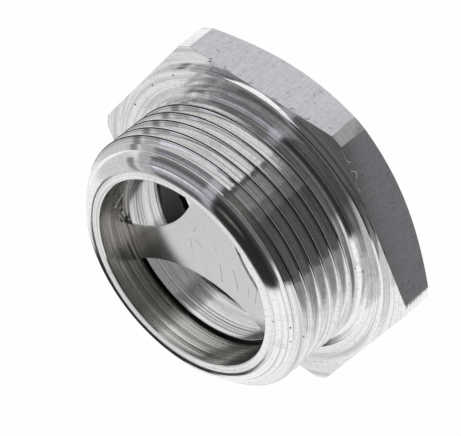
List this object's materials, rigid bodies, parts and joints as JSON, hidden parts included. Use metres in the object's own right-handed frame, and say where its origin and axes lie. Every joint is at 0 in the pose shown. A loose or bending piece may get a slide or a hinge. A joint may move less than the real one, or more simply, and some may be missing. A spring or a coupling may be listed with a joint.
{
  "type": "oil sight glass",
  "caption": "Screw-in oil sight glass: turned hexagon head and threaded shank around a round window, with a three-armed reflector plate in the bore.",
  "frame": {"origin": "centre of the hexagon head's front face", "axes": "+Z along the axis from the head's front face to the open thread end; a flat of the hexagon faces +X"},
  "size_m": [0.036, 0.0406, 0.017],
  "materials": {
    "turned_aluminium": "bare turned metal",
    "reflector_aluminium": "satin sheet",
    "black_rubber": "smooth moulded",
    "window_glass": "polished"
  },
  "bodies": {
    "root": {"body": "turned_aluminium", "reflector_plate": "reflector_aluminium", "sealing_ring": "black_rubber", "window_glass": "window_glass"}
  },
  "joints": []
}
